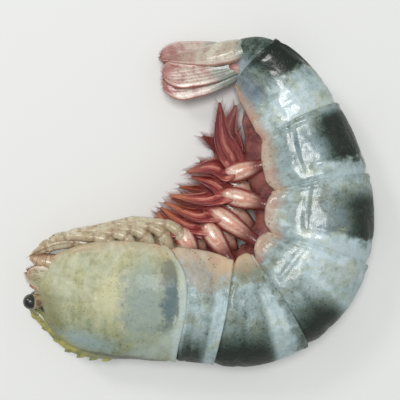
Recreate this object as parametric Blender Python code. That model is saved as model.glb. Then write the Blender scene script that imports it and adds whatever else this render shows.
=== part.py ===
"""A raw tiger prawn, whole and in its shell, lying curled on its left side.

Metres, +Z up. The floor is Z = 0 and the origin is the middle of the prawn's box, on the floor.
The head is towards -X and the back faces outwards, round the curl, so the right flank is on top.
The body is one loft along a curled middle line. Limbs, tail blades and head parts are lofts that a
Boolean union joins to it, and a last cut gives the flat spots that it rests on.
"""

import math

import bmesh
import bpy
from mathutils import Vector

# Lengths along the middle line, from the front of the head shell to the tip of the tail
HEAD_SHELL = 0.0225
SEGMENTS = (0.0066, 0.0096, 0.0106, 0.0110, 0.0108, 0.0122)
TAIL_ROOT = 0.0030
TAIL_BLADE = 0.0148

# The way the head shell runs, then how far each segment turns it: degrees, anticlockwise from +X
HEAD_HEADING = -7.5
SEGMENT_BENDS = (-3.0, 43.0, 40.0, 29.0, 15.0, 22.0)
TAIL_BEND = 44.0
TAIL_ROLL = 62.0

# Body sections: distance from the front, middle line to back, middle line to lower edge, half
# width, and height of the middle line over the floor
SECTIONS = (
    (-0.0012, 0.0036, 0.0034, 0.0022, 0.0067),
    (0.0014, 0.0068, 0.0060, 0.0041, 0.0067),
    (0.0055, 0.0096, 0.0084, 0.0056, 0.0067),
    (0.0115, 0.0103, 0.0098, 0.0064, 0.0067),
    (0.0175, 0.0102, 0.0100, 0.0068, 0.0067),
    (0.0225, 0.0098, 0.0096, 0.0068, 0.0067),
    (0.0300, 0.0094, 0.0094, 0.0065, 0.0064),
    (0.0380, 0.0092, 0.0098, 0.0062, 0.0061),
    (0.0480, 0.0088, 0.0103, 0.0059, 0.0058),
    (0.0590, 0.0080, 0.0099, 0.0054, 0.0053),
    (0.0690, 0.0070, 0.0086, 0.0048, 0.0048),
    (0.0770, 0.0061, 0.0069, 0.0042, 0.0047),
    (0.0833, 0.0053, 0.0051, 0.0037, 0.0048),
    (0.0863, 0.0043, 0.0040, 0.0033, 0.0049),
)
HEAD_TUCK = 0.30
FLANK_TUCK = 0.40
HEAD_BELLY = 0.95
BELLY = 0.62
LOBE_RISE = 0.13
EDGE_FLARE = 0.05
STEP = 0.00012

# Swimming legs, on the first five segments: how far the blades lean forwards, and their lengths
BLADE_LEANS = (50.0, 50.0, 30.0, 10.0, 0.0)
BLADE_LENGTHS = (0.0096, 0.0118, 0.0136, 0.0140, 0.0128)
STEM_DROP = 0.0040
STEM_WIDTH = 0.0040
BLADE_WIDTH = 0.0023
INNER_BLADE = 0.8

# Walking legs, folded forwards under the head shell
LEG_SPACING = 0.0031
LEG_REACH = 0.0120
LEG_WIDTH = 0.0018

# Head
HORN_BACK = 0.0130
HORN_ROOT = 0.0040
HORN_TIP = -0.0024
HORN_SUNK = 0.0010
HORN_SLOPE = 0.5
HORN_HEIGHT = 0.0022
HORN_TOOTH = 0.0006
EYE_RADIUS = 0.0013
EYE_AT = (-0.0021, 0.0026, 0.0021)

SHELL_COLOUR = (0.23, 0.29, 0.26, 1.0)
SHELL_ROUGHNESS = 0.3
SHELL_METALLIC = 0.0


def smooth_between(rows, at):
    """The values of a table at a distance, on a smooth curve through its rows."""
    if at <= rows[0][0]:
        return rows[0][1:]
    if at >= rows[-1][0]:
        return rows[-1][1:]
    after = next(i for i, row in enumerate(rows) if row[0] >= at)
    start, end = rows[after - 1], rows[after]
    before = rows[max(after - 2, 0)]
    beyond = rows[min(after + 1, len(rows) - 1)]
    span = end[0] - start[0]
    t = (at - start[0]) / span
    values = []
    for k in range(1, len(start)):
        slope_in = (end[k] - before[k]) / (end[0] - before[0]) * span
        slope_out = (beyond[k] - start[k]) / (beyond[0] - start[0]) * span
        values.append(
            (2 * t**3 - 3 * t**2 + 1) * start[k]
            + (t**3 - 2 * t**2 + t) * slope_in
            + (3 * t**2 - 2 * t**3) * end[k]
            + (t**3 - t**2) * slope_out
        )
    return values


def running_total(start, lengths):
    found = [start]
    for length in lengths:
        found.append(found[-1] + length)
    return found


BORDERS = running_total(HEAD_SHELL, SEGMENTS)
BODY_END = BORDERS[-1] + TAIL_ROOT


def heading(at):
    """The direction of the middle line, in degrees anticlockwise from +X."""
    turned = HEAD_HEADING
    for start, length, bend in zip(BORDERS, SEGMENTS, SEGMENT_BENDS):
        turned += bend * min(max((at - start) / length, 0.0), 1.0)
    past = (at - BORDERS[-1]) / (TAIL_ROOT + 0.3 * TAIL_BLADE)
    return turned + TAIL_BEND * min(max(past, 0.0), 1.0)


def middle_line(step):
    """Points along the curl, one step apart, by adding up the headings."""
    points = [Vector((0.0, 0.0))]
    for i in range(int((BODY_END + TAIL_BLADE) / step) + 2):
        angle = math.radians(heading((i + 0.5) * step))
        points.append(points[-1] + step * Vector((math.cos(angle), math.sin(angle))))
    return points


LINE_STEP = 0.0002
LINE = middle_line(LINE_STEP)


def frame_at(at):
    """The middle line's point, and the directions to the tail, the back and the upper flank."""
    place = at / LINE_STEP
    i = min(max(int(place), 0), len(LINE) - 2)
    flat = LINE[i] + (LINE[i + 1] - LINE[i]) * (place - i)
    angle = math.radians(heading(at))
    to_tail = Vector((math.cos(angle), math.sin(angle), 0.0))
    to_back = Vector((math.sin(angle), -math.cos(angle), 0.0))
    up = Vector((0.0, 0.0, 1.0))
    rolled = min(max((at - BORDERS[-2]) / (BODY_END - BORDERS[-2]), 0.0), 1.0)
    roll = math.radians(TAIL_ROLL) * rolled * rolled
    back = to_back * math.cos(roll) + up * math.sin(roll)
    flank = up * math.cos(roll) - to_back * math.sin(roll)
    height = smooth_between(SECTIONS, at)[3]
    return Vector((flat.x, flat.y, height)), to_tail, back, flank


def body_point(at, sideways, backwards):
    """A point beside the middle line: towards the upper flank, and towards the back."""
    centre, _, back, flank = frame_at(at)
    return centre + flank * sideways + back * backwards


def half_outline(at, lobe, belly, tuck):
    """One flank of a section, from the back's ridge to the middle of the belly."""
    top, low, wide, _ = smooth_between(SECTIONS, at)
    low *= lobe
    points = []
    for degrees in (0, 14, 30, 46, 62, 77, 90):
        angle = math.radians(degrees)
        points.append((wide * math.sin(angle) ** 0.95, top * math.cos(angle)))
    for t in (0.25, 0.5, 0.75, 0.92, 1.0):
        points.append((wide * (1 - tuck * t**2.4), -low * t))
    inner = wide * (1 - tuck)
    points.append((0.82 * inner, -low * (0.3 + 0.7 * belly)))
    points.append((0.0, -low * belly))
    return points


def body_stations():
    """Each ring of the body: distance, size, lobe, belly and tuck."""
    rings = []
    front = SECTIONS[0][0]
    for share in (0.0, 0.07, 0.15, 0.24, 0.34, 0.45, 0.57, 0.70, 0.83, 0.94, 1.0):
        at = front + (HEAD_SHELL - front) * share
        rings.append((at, 1.0 + 0.02 * share, 1.0, HEAD_BELLY, HEAD_TUCK))
    start = HEAD_SHELL
    for number, length in enumerate(SEGMENTS):
        rise = LOBE_RISE if number < 5 else 0.04
        for share in (0.0, 0.2, 0.45, 0.7, 0.9, 1.0):
            size = 1.0 + EDGE_FLARE * (share - 0.7)
            lobe = 1.0 - rise * (2 * share - 1) ** 2
            at = start + STEP + (length - STEP) * share
            rings.append((at, size, lobe, BELLY, FLANK_TUCK))
        start += length
    rings.append((start + STEP, 0.93, 1.0, 0.8, FLANK_TUCK))
    rings.append((BODY_END, 0.85, 1.0, 0.8, FLANK_TUCK))
    return rings


def loft(name, rings):
    """A closed skin through rings that have the same number of points, by extruding a circle."""
    shape = bmesh.new()
    row = bmesh.ops.create_circle(shape, segments=len(rings[0]), radius=1.0)["verts"]
    for vertex, place in zip(row, rings[0]):
        vertex.co = place
    edges = shape.edges[:]
    for ring in rings[1:]:
        made = bmesh.ops.extrude_edge_only(shape, edges=edges)["geom"]
        fresh = {item for item in made if isinstance(item, bmesh.types.BMVert)}
        edges = [item for item in made if isinstance(item, bmesh.types.BMEdge) and fresh >= set(item.verts)]
        row = [
            next(edge.other_vert(vertex) for edge in vertex.link_edges if edge.other_vert(vertex) in fresh)
            for vertex in row
        ]
        for vertex, place in zip(row, ring):
            vertex.co = place
    bmesh.ops.holes_fill(shape, edges=shape.edges[:], sides=0)
    bmesh.ops.recalc_face_normals(shape, faces=shape.faces[:])
    return as_object(name, shape)


def as_object(name, shape):
    mesh = bpy.data.meshes.new(name)
    shape.to_mesh(mesh)
    shape.free()
    mesh.shade_smooth()
    return bpy.data.objects.new(name, mesh)


def body():
    """Head shell, six overlapping segments and the root of the tail, as one loft."""
    rings = []
    for at, size, lobe, belly, tuck in body_stations():
        half = half_outline(at, lobe, belly, tuck)
        other = [(-w, d) for w, d in reversed(half[1:-1])]
        centre, _, back, flank = frame_at(at)
        rings.append([centre + (flank * w + back * d) * size for w, d in half + other])
    return loft("prawn_body", rings)


def limb(name, path, widths, thicknesses, side, around=8):
    """A tapered limb or blade along a path. Side is the way that its width runs."""
    rings = []
    last = len(path) - 1
    for i, point in enumerate(path):
        along = (path[min(i + 1, last)] - path[max(i - 1, 0)]).normalized()
        across = (side - along * side.dot(along)).normalized()
        through = along.cross(across)
        ring = []
        for k in range(around):
            angle = 2 * math.pi * k / around
            wide = across * (0.5 * widths[i] * math.cos(angle))
            thick = through * (0.5 * thicknesses[i] * math.sin(angle))
            ring.append(point + wide + thick)
        rings.append(ring)
    return loft(name, rings)


def arc(start, towards, leaning, angles, length, count):
    """Points along an arc whose direction turns from one angle to another, between two directions."""
    points = [start.copy()]
    for i in range(count):
        angle = math.radians(angles[0] + (angles[1] - angles[0]) * (i + 0.5) / count)
        step = towards * math.cos(angle) + leaning * math.sin(angle)
        points.append(points[-1] + step * (length / count))
    return points


def scaled(shares, size):
    return [size * share for share in shares]


def side_name(side):
    return "upper" if side > 0 else "lower"


def swimming_legs():
    """Five pairs. Each is an oval stem under the flank's edge, with two long blades."""
    made = []
    for number in range(5):
        at = BORDERS[number] + 0.5 * SEGMENTS[number]
        _, low, wide, _ = smooth_between(SECTIONS, at)
        centre, tail, back, flank = frame_at(at)
        lean = BLADE_LEANS[number]
        length = BLADE_LENGTHS[number]
        for side in (1, -1):
            name = f"{side_name(side)}_{number + 1}"
            hang = (-back + flank * (-0.10 * side)).normalized()
            root = centre + flank * (0.46 * wide * side) - back * (0.55 * low)
            stem = arc(root, hang, -tail, (0.25 * lean, 0.55 * lean), 0.45 * low + STEM_DROP, 5)
            made.append(
                limb(
                    "stem_" + name,
                    stem,
                    scaled((0.75, 0.95, 1.05, 1.0, 0.85, 0.45), STEM_WIDTH),
                    scaled((0.5, 0.6, 0.62, 0.62, 0.55, 0.3), STEM_WIDTH),
                    tail,
                )
            )
            for inner in (False, True):
                reach = length * (INNER_BLADE if inner else 1.0)
                shift = flank * (-0.0011 * side if inner else 0.0002 * side)
                turn = (0.7 * lean, 1.15 * lean) if not inner else (0.55 * lean - 6, 0.95 * lean - 6)
                sag = hang - flank * (0.20 if side > 0 else 0.08)
                blade = arc(stem[3] + shift, sag.normalized(), -tail, turn, reach, 6)
                made.append(
                    limb(
                        ("inner_" if inner else "blade_") + name,
                        blade,
                        scaled((0.6, 0.9, 1.0, 0.95, 0.8, 0.55, 0.22), BLADE_WIDTH),
                        scaled((0.5, 0.5, 0.48, 0.45, 0.4, 0.32, 0.2), BLADE_WIDTH),
                        tail,
                        around=6,
                    )
                )
    return made


def walking_legs():
    """Five pairs, folded forwards close under the head shell."""
    made = []
    for number in range(5):
        at = 0.0085 + LEG_SPACING * number
        wide = smooth_between(SECTIONS, at)[2]
        for side in (1, -1):
            path = []
            out = side * wide * (0.46 - 0.08 * number)
            for share, drop in ((0.0, 0.70), (0.1, 0.96), (0.25, 1.06), (0.5, 1.1), (0.8, 1.08), (1.0, 1.0)):
                spot = at - LEG_REACH * share
                under = smooth_between(SECTIONS, spot)[1]
                lower = 0.00028 * number * min(share * 4, 1.0)
                path.append(body_point(spot, out, -under * drop - lower))
            made.append(
                limb(
                    f"leg_{side_name(side)}_{number + 1}",
                    path,
                    scaled((1.25, 1.2, 1.05, 0.85, 0.6, 0.3), LEG_WIDTH),
                    scaled((1.1, 1.1, 0.95, 0.8, 0.55, 0.3), LEG_WIDTH),
                    Vector((0, 0, 1)),
                    around=6,
                )
            )
    return made


def tail_fan():
    """The pointed tail plate and two leaf-shaped blades on each side of it, half closed."""
    root = frame_at(BODY_END - 0.0014)[0]
    _, tail, back, flank = frame_at(BODY_END + 0.3 * TAIL_BLADE)
    plate = [root + tail * (TAIL_BLADE * share) for share in (0.0, 0.2, 0.45, 0.7, 0.9, 1.0)]
    made = [
        limb(
            "tail_plate",
            plate,
            scaled((1.0, 0.95, 0.75, 0.5, 0.28, 0.1), 0.0054),
            scaled((1.0, 0.8, 0.55, 0.4, 0.3, 0.15), 0.0044),
            flank,
        )
    ]
    for side in (1, -1):
        for name, splay, droop, reach, wide, drop in (
            ("inner", 8.0, 10.0, 1.00, 0.0048, 0.0006),
            ("outer", 17.0, 16.0, 1.02, 0.0056, 0.0015),
        ):
            splay, droop = math.radians(splay), math.radians(droop)
            out = flank * (side * math.cos(droop)) - back * math.sin(droop)
            start = root + out * 0.0010 - back * drop
            along = tail * math.cos(splay) + out * math.sin(splay)
            path = [start + along * (TAIL_BLADE * reach * s) for s in (0.0, 0.2, 0.42, 0.66, 0.88, 1.0)]
            made.append(
                limb(
                    f"tail_{name}_{side_name(side)}",
                    path,
                    scaled((0.4, 0.72, 0.94, 1.0, 0.86, 0.48), wide),
                    scaled((2.2, 1.2, 1.0, 0.9, 0.8, 0.6), 0.0010),
                    out,
                )
            )
    return made


def horn():
    """The toothed ridge along the front of the back, which ends in a short horn."""
    teeth = 6
    path, heights, thicknesses = [], [], []
    for i in range(2 * teeth + 1):
        share = i / (2 * teeth)
        at = HORN_BACK + (HORN_TIP - HORN_BACK) * share
        free = max(HORN_ROOT - at, 0.0)
        lower = smooth_between(SECTIONS, max(at, HORN_ROOT))[0] - HORN_SUNK - HORN_SLOPE * free
        height = HORN_HEIGHT * (0.6 + 1.2 * share * (1 - share)) * (1 - 0.5 * share)
        height += HORN_TOOTH if i % 2 else 0.0
        path.append(body_point(at, 0.0, lower + height / 2))
        heights.append(height)
        thicknesses.append(0.0014 - 0.0008 * share)
    return limb("horn", path, heights, thicknesses, frame_at(0.0)[2], around=6)


def eyes():
    made = []
    back = frame_at(0.0)[2]
    ahead, out, up = EYE_AT
    for side in (1, -1):
        stalk = [body_point(ahead * t + 0.0010 * (1 - t), side * out * (0.3 + 0.7 * t), up) for t in (0, 0.5, 0.9)]
        widths = scaled((1.5, 1.4, 1.5), EYE_RADIUS)
        made.append(limb("stalk_" + side_name(side), stalk, widths, widths, back))
        shape = bmesh.new()
        bmesh.ops.create_icosphere(shape, subdivisions=2, radius=EYE_RADIUS)
        bmesh.ops.translate(shape, verts=shape.verts, vec=body_point(ahead, side * out, up))
        made.append(as_object("eye_" + side_name(side), shape))
    return made


def feelers():
    """A leaf-shaped scale, a thick feeler root and a thin pair of short feelers on each side."""
    made = []
    _, tail, back, flank = frame_at(0.0)
    for side in (1, -1):
        name = side_name(side)
        out = (flank * (0.75 * side) - back * 0.66).normalized()
        leaf = [
            body_point(0.0015 - 0.0050 * t, side * (0.0016 + 0.0010 * t), -0.0008 - 0.0012 * t)
            for t in (0.0, 0.25, 0.5, 0.75, 1.0)
        ]
        made.append(
            limb(
                "scale_" + name,
                leaf,
                scaled((0.8, 1.0, 1.0, 0.8, 0.4), 0.0036),
                scaled((1.3, 1.0, 0.9, 0.8, 0.6), 0.0010),
                out,
            )
        )
        for kind, reach, wide, side_at, drop in (
            ("feeler", 0.0046, 0.0021, 0.0012, -0.0032),
            ("short_feeler", 0.0042, 0.0013, 0.0007, 0.0006),
        ):
            path = [
                body_point(0.0012 - reach * t, side * side_at * (1 + 0.3 * t), drop - 0.0004 * t * t)
                for t in (0.0, 0.4, 0.75, 1.0)
            ]
            widths = scaled((1.0, 0.9, 0.65, 0.35), wide)
            made.append(limb(f"{kind}_{name}", path, widths, widths, back, around=6))
    return made


def shell_material():
    material = bpy.data.materials.new("prawn_shell")
    material.use_nodes = True
    surface = material.node_tree.nodes["Principled BSDF"]
    surface.inputs["Base Color"].default_value = SHELL_COLOUR
    surface.inputs["Roughness"].default_value = SHELL_ROUGHNESS
    surface.inputs["Metallic"].default_value = SHELL_METALLIC
    return material


def helper_collection(name, objects):
    """Shapes that a Boolean reads: they aren't parts of their own."""
    collection = bpy.data.collections.new(name)
    bpy.context.scene.collection.children.link(collection)
    for obj in objects:
        collection.objects.link(obj)
        obj.hide_render = True
        obj.display_type = "WIRE"
    return collection


def boolean(obj, operation, collection):
    modifier = obj.modifiers.new(operation.title(), "BOOLEAN")
    modifier.operation = operation
    modifier.solver = "MANIFOLD"
    modifier.operand_type = "COLLECTION"
    modifier.collection = collection


def floor_cutter():
    shape = bmesh.new()
    bmesh.ops.create_cube(shape, size=0.2)
    bmesh.ops.translate(shape, verts=shape.verts, vec=(0.0, 0.0, -0.1))
    return as_object("floor_cut", shape)


def centred(source, name):
    """The finished solid, moved so that the middle of its box is over the origin."""
    bpy.context.view_layer.update()
    evaluated = source.evaluated_get(bpy.context.evaluated_depsgraph_get())
    mesh = bpy.data.meshes.new_from_object(evaluated)
    mesh.name = name
    low = Vector([min(v.co[k] for v in mesh.vertices) for k in range(3)])
    high = Vector([max(v.co[k] for v in mesh.vertices) for k in range(3)])
    shift = Vector((-(low.x + high.x) / 2, -(low.y + high.y) / 2, -low.z))
    for vertex in mesh.vertices:
        vertex.co += shift
    return bpy.data.objects.new(name, mesh)


def main():
    for obj in list(bpy.data.objects):
        bpy.data.objects.remove(obj)
    material = shell_material()
    limbs = swimming_legs() + walking_legs() + tail_fan() + [horn()] + eyes() + feelers()
    source = body()
    for obj in [source] + limbs:
        obj.data.materials.append(material)
    helper_collection("prawn_sources", [source])
    boolean(source, "UNION", helper_collection("prawn_limbs", limbs))
    boolean(source, "DIFFERENCE", helper_collection("cutters", [floor_cutter()]))
    parts = bpy.data.collections.new("tiger_prawn")
    bpy.context.scene.collection.children.link(parts)
    parts.objects.link(centred(source, "prawn"))


main()
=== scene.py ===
import random
from math import copysign, cos, exp, hypot, pi, radians, sin, sqrt

import bmesh
import bpy
from mathutils import Matrix, Vector, noise


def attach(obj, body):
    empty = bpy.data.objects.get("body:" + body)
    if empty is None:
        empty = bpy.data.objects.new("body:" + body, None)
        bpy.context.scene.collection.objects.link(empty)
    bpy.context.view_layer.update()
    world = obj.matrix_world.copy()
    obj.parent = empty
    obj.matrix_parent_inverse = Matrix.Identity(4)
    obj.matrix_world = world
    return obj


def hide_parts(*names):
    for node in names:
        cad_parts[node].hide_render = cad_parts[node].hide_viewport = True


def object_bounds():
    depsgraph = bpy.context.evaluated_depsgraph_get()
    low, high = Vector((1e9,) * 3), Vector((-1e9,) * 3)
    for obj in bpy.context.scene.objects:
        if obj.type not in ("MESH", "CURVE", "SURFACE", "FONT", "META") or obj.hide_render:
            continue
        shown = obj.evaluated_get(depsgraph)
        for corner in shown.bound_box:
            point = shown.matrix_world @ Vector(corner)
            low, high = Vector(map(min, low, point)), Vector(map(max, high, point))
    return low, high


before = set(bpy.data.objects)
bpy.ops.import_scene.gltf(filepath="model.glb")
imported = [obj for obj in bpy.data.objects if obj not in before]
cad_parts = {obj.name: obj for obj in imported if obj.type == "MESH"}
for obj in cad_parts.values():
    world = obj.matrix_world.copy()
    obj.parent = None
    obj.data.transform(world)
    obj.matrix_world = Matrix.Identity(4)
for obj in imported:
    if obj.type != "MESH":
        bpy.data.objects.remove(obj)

cadLow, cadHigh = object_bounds()  # the solid's box, before any piece is added
scene = bpy.context.scene
bodyName = "root"
cadNode = "prawn"
up = Vector((0.0, 0.0, 1.0))
sideNames = {1: "Upper", -1: "Lower"}  # the flank that shows, and the one that it lies on
print("frame loaded")

# the curl that every piece follows, with the same sizes as the solid: metres and degrees
curl = {
    "headShell": 0.0225,
    "segments": (0.0066, 0.0096, 0.0106, 0.0110, 0.0108, 0.0122),
    "tailRoot": 0.0030,
    "tailBlade": 0.0148,
    "headHeading": -7.5,
    "bends": (-3.0, 43.0, 40.0, 29.0, 15.0, 22.0),
    "tailBend": 44.0,
    "tailRoll": 62.0,
    "bendShare": 0.3,  # the tail's bend has ended at this share of its blades
    "flare": 0.05,
    "flareFrom": 0.7,
    "ringShares": (0.0, 0.2, 0.45, 0.7, 0.9, 1.0),  # the solid's rings in each segment
    "shrink": 0.972,  # keeps the fine skin inside the faceted solid's box
    "floorRise": 0.0003,  # what nears the floor flattens from this height
    "lineStep": 0.0002,
    # distance from the front, middle to back, middle to lower edge, half width, height over the floor
    "sections": (
        (-0.0012, 0.0036, 0.0034, 0.0022, 0.0067),
        (0.0014, 0.0068, 0.0060, 0.0041, 0.0067),
        (0.0055, 0.0096, 0.0084, 0.0056, 0.0067),
        (0.0115, 0.0103, 0.0098, 0.0064, 0.0067),
        (0.0175, 0.0102, 0.0100, 0.0068, 0.0067),
        (0.0225, 0.0098, 0.0096, 0.0068, 0.0067),
        (0.0300, 0.0094, 0.0094, 0.0065, 0.0064),
        (0.0380, 0.0092, 0.0098, 0.0062, 0.0061),
        (0.0480, 0.0088, 0.0103, 0.0059, 0.0058),
        (0.0590, 0.0080, 0.0099, 0.0054, 0.0053),
        (0.0690, 0.0070, 0.0086, 0.0048, 0.0048),
        (0.0770, 0.0061, 0.0069, 0.0042, 0.0047),
        (0.0833, 0.0053, 0.0051, 0.0037, 0.0048),
        (0.0863, 0.0043, 0.0040, 0.0033, 0.0049),
    ),
}


def smoothRow(rows, at):  # the values of a table at a distance, on a smooth curve through its rows
    if at <= rows[0][0]:
        return rows[0][1:]
    if at >= rows[-1][0]:
        return rows[-1][1:]
    after = next(i for i, row in enumerate(rows) if row[0] >= at)
    start, end = rows[after - 1], rows[after]
    before, beyond = rows[max(after - 2, 0)], rows[min(after + 1, len(rows) - 1)]
    span = end[0] - start[0]
    t = (at - start[0]) / span
    values = []
    for k in range(1, len(start)):
        slopeIn = (end[k] - before[k]) / (end[0] - before[0]) * span
        slopeOut = (beyond[k] - start[k]) / (beyond[0] - start[0]) * span
        values.append(
            (2 * t**3 - 3 * t**2 + 1) * start[k]
            + (t**3 - 2 * t**2 + t) * slopeIn
            + (3 * t**2 - 2 * t**3) * end[k]
            + (t**3 - t**2) * slopeOut
        )
    return values


def profile(shares, t):  # evenly spaced values, read on a smooth curve
    last = len(shares) - 1
    return smoothRow([(i / last, value) for i, value in enumerate(shares)], t)[0]


def limited(value, low=0.0, high=1.0):
    return min(max(value, low), high)


def eased(value):  # 0 to 1 with soft ends
    value = limited(value)
    return value * value * (3 - 2 * value)


def hump(value, middle, wide):
    return exp(-(((value - middle) / wide) ** 2))


def section(at):
    return smoothRow(curl["sections"], at)


borders = [curl["headShell"]]
for length in curl["segments"]:
    borders.append(borders[-1] + length)
bodyEnd = borders[-1] + curl["tailRoot"]


def heading(at):  # degrees anticlockwise from +X
    turned = curl["headHeading"]
    for start, length, bend in zip(borders, curl["segments"], curl["bends"]):
        turned += bend * limited((at - start) / length)
    past = (at - borders[-1]) / (curl["tailRoot"] + curl["bendShare"] * curl["tailBlade"])
    return turned + curl["tailBend"] * limited(past)


line = [Vector((0.0, 0.0))]
for i in range(int((bodyEnd + curl["tailBlade"]) / curl["lineStep"]) + 2):
    angle = radians(heading((i + 0.5) * curl["lineStep"]))
    line.append(line[-1] + curl["lineStep"] * Vector((cos(angle), sin(angle))))
shift = Vector((0.0, 0.0))


def frameAt(at):  # the middle line's point, and the ways to the tail, the back and the upper flank
    place = at / curl["lineStep"]
    i = min(max(int(place), 0), len(line) - 2)
    flat = line[i] + (line[i + 1] - line[i]) * (place - i) + shift
    angle = radians(heading(at))
    toTail = Vector((cos(angle), sin(angle), 0.0))
    toBack = Vector((sin(angle), -cos(angle), 0.0))
    rolled = limited((at - borders[-2]) / (bodyEnd - borders[-2]))
    roll = radians(curl["tailRoll"]) * rolled * rolled
    back = toBack * cos(roll) + up * sin(roll)
    flank = up * cos(roll) - toBack * sin(roll)
    return Vector((flat.x, flat.y, section(at)[3])), toTail, back, flank


def bodyPoint(at, sideways, backwards):
    centre, _, back, flank = frameAt(at)
    return centre + flank * sideways + back * backwards


def ridgePoints():  # the solid's line along the back, where each segment flares to its rear edge
    for start, length in zip(borders, curl["segments"]):
        for share in curl["ringShares"]:
            at = start + length * share
            flared = 1 + curl["flare"] * (share - curl["flareFrom"])
            yield bodyPoint(at, 0.0, section(at)[0] * flared)


# the back touches the box on its right and at the bottom, which places the curl on the solid
ridge = list(ridgePoints())
shift = Vector((cadHigh.x - max(p.x for p in ridge), cadLow.y - min(p.y for p in ridge)))
print("curl placed", tuple(round(value * 1000, 3) for value in shift))


# a closed tube through rings of points: a circle is extruded from each ring to the next
def skin(rings, marks):
    shape = bmesh.new()
    names = sorted(marks[0][0])
    layers = [shape.verts.layers.float.new(name) for name in names]
    row = bmesh.ops.create_circle(shape, segments=len(rings[0]), radius=1.0)["verts"]
    edges = shape.edges[:]
    for number, ring in enumerate(rings):
        if number:
            made = bmesh.ops.extrude_edge_only(shape, edges=edges)["geom"]
            fresh = {item for item in made if isinstance(item, bmesh.types.BMVert)}
            edges = [item for item in made if isinstance(item, bmesh.types.BMEdge)]
            edges = [edge for edge in edges if fresh >= set(edge.verts)]
            row = [
                next(e.other_vert(vertex) for e in vertex.link_edges if e.other_vert(vertex) in fresh)
                for vertex in row
            ]
        for k, (vertex, place) in enumerate(zip(row, ring)):
            vertex.co = place
            for name, layer in zip(names, layers):
                vertex[layer] = marks[number][k][name]
    ends = bmesh.ops.holes_fill(shape, edges=shape.edges[:], sides=0)["faces"]
    for vertex in bmesh.ops.poke(shape, faces=ends)["verts"]:  # a poked end keeps its ring's values
        for layer in layers:
            vertex[layer] = vertex.link_edges[0].other_vert(vertex)[layer]
    bmesh.ops.recalc_face_normals(shape, faces=shape.faces[:])
    return shape


def placed(name, data):  # a new object in the scene
    item = bpy.data.objects.new(name, data)
    scene.collection.objects.link(item)
    return item


def meshFrom(name, shape):
    mesh = bpy.data.meshes.new(name)
    shape.to_mesh(mesh)
    shape.free()
    return mesh


# one piece from closed shapes, with a material each, the last one for what is left
def pieceFrom(name, shapes, materials):
    whole = bmesh.new()
    for number, shape in enumerate(shapes):
        for face in shape.faces:
            face.material_index = min(number, len(materials) - 1)
        part = meshFrom("part", shape)
        whole.from_mesh(part)
        bpy.data.meshes.remove(part)
    rise = curl["floorRise"]
    for vertex in whole.verts:  # what would reach the floor flattens just over it
        if vertex.co.z < rise:
            vertex.co.z = rise * exp(max(vertex.co.z - rise, -5 * rise) / rise)
    mesh = meshFrom(name, whole)
    mesh.shade_smooth()
    for material in materials:
        mesh.materials.append(material)
    piece = placed(name, mesh)
    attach(piece, bodyName)
    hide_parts(cadNode)


def smoothPath(stops, count):  # points on a smooth curve through some stops
    rows = [(i / (len(stops) - 1), *stop) for i, stop in enumerate(stops)]
    return [Vector(smoothRow(rows, i / count)) for i in range(count + 1)]


def turn(count):  # the sine and cosine of evenly spaced angles, once round
    return [(sin(2 * pi * k / count), cos(2 * pi * k / count)) for k in range(count)]


def closing(count):  # 0 to 1, closer together towards 1
    return [sin(i / count * pi / 2) for i in range(count + 1)]


def tapered(size, shares):  # a width or thickness that depends on the share of a limb's length
    return lambda t: size * profile(shares, t)


def girths(sizes, name):  # a limb's width and thickness, from its dictionary
    return tapered(*sizes[name + "Width"]), tapered(*sizes[name + "Thick"])


def roundEnded(size, shares, rounded, blunt):  # a blade's width: rounded is its round end's share
    def width(t):
        step = sin(t * pi / 2)
        ending = limited((step - 1 + rounded) / rounded)
        return size * profile(shares, step) * sqrt(1 + blunt - ending * ending)

    return width


def limb(path, width, thickness, side, around, ridge=0.0, edge=1.0, cup=0.0):  # a tapered limb or blade
    rings, marks = [], []
    last = len(path) - 1
    for i, point in enumerate(path):
        t = i / last
        along = (path[min(i + 1, last)] - path[max(i - 1, 0)]).normalized()
        across = (side - along * side.dot(along)).normalized()
        through = along.cross(across)
        ring, mark = [], []
        for s, c in turn(around):
            rise = copysign(abs(s) ** edge, s) * (1 + ridge * hump(c, 0.0, 0.2)) * thickness(t)
            bow = cup * width(t) * (c * c - 0.5)
            ring.append(point + across * (0.5 * width(t) * c) + through * (0.5 * rise + bow))
            mark.append({"along": t, "across": c})
        rings.append(ring)
        marks.append(mark)
    return skin(rings, marks)


hairRadius = 0.000045


def hair(shape, root, tip):  # one bristle, a thin cone
    way = tip - root
    turned = Matrix.Translation((root + tip) / 2) @ way.to_track_quat("Z", "Y").to_matrix().to_4x4()
    bmesh.ops.create_cone(
        shape, cap_ends=True, cap_tris=True, segments=3, radius1=hairRadius, radius2=hairRadius * 0.25,
        depth=way.length, matrix=turned,
    )


def linear(colour):  # a screen colour, 0 to 255, as the shader's linear one
    values = []
    for value in colour:
        value /= 255
        values.append(value / 12.92 if value <= 0.04045 else ((value + 0.055) / 1.055) ** 2.4)
    return (*values, 1.0)


# shader maths: a socket that can be added, multiplied and so on
class Wire:
    def __init__(self, finish, socket):
        self.finish, self.socket = finish, socket

    def maths(self, operation, *values):
        return self.finish.node("ShaderNodeMath", {"operation": operation}, dict(enumerate(values)))

    def __add__(self, other):
        return self.maths("ADD", self, other)

    def __mul__(self, other):
        return self.maths("MULTIPLY", self, other)

    def __sub__(self, other):
        return self.maths("SUBTRACT", self, other)

    def __rsub__(self, other):
        return self.maths("SUBTRACT", other, self)

    __radd__ = __add__
    __rmul__ = __mul__

    def wave(self):
        return self.maths("SINE", self)

    def over(self, low, high):  # 0 below low, 1 above high, soft between
        stops = {"Value": self, "From Min": low, "From Max": high}
        return self.finish.node("ShaderNodeMapRange", {"interpolation_type": "SMOOTHSTEP"}, stops)

    def near(self, middle, wide):  # 1 at the middle, 0 further off than wide
        return 1 - self.maths("ABSOLUTE", self - middle).over(0.0, wide)


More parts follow.
